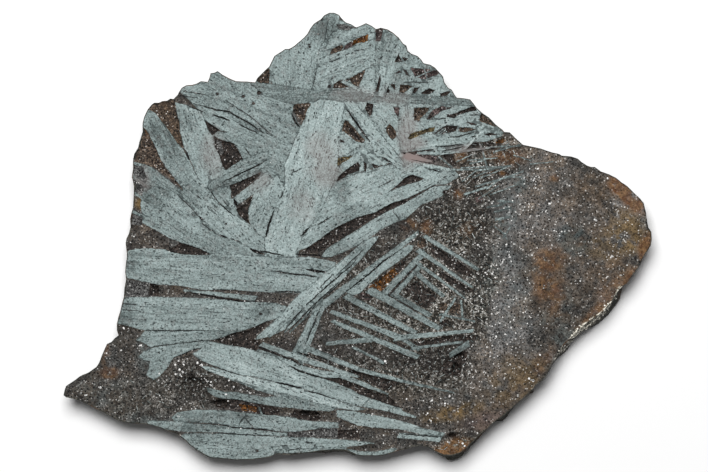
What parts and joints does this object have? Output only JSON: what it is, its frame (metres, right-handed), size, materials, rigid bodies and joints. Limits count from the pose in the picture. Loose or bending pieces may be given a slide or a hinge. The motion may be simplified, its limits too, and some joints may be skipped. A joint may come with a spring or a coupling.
{
  "type": "polished hematite magnetite slab",
  "caption": "Irregular flat slab of bladed hematite and magnetite, polished on its upper face, with a broken natural rim.",
  "frame": {"origin": "under the middle of the slab's box, on the plane it rests on", "axes": "+Z out of the polished face, +X along the slab towards its rounded nose, +Y towards its pointed crest"},
  "size_m": [0.1412, 0.1078, 0.006],
  "materials": {
    "hematite": "satin"
  },
  "bodies": {
    "root": {"hematite_slab": "hematite"}
  },
  "joints": []
}
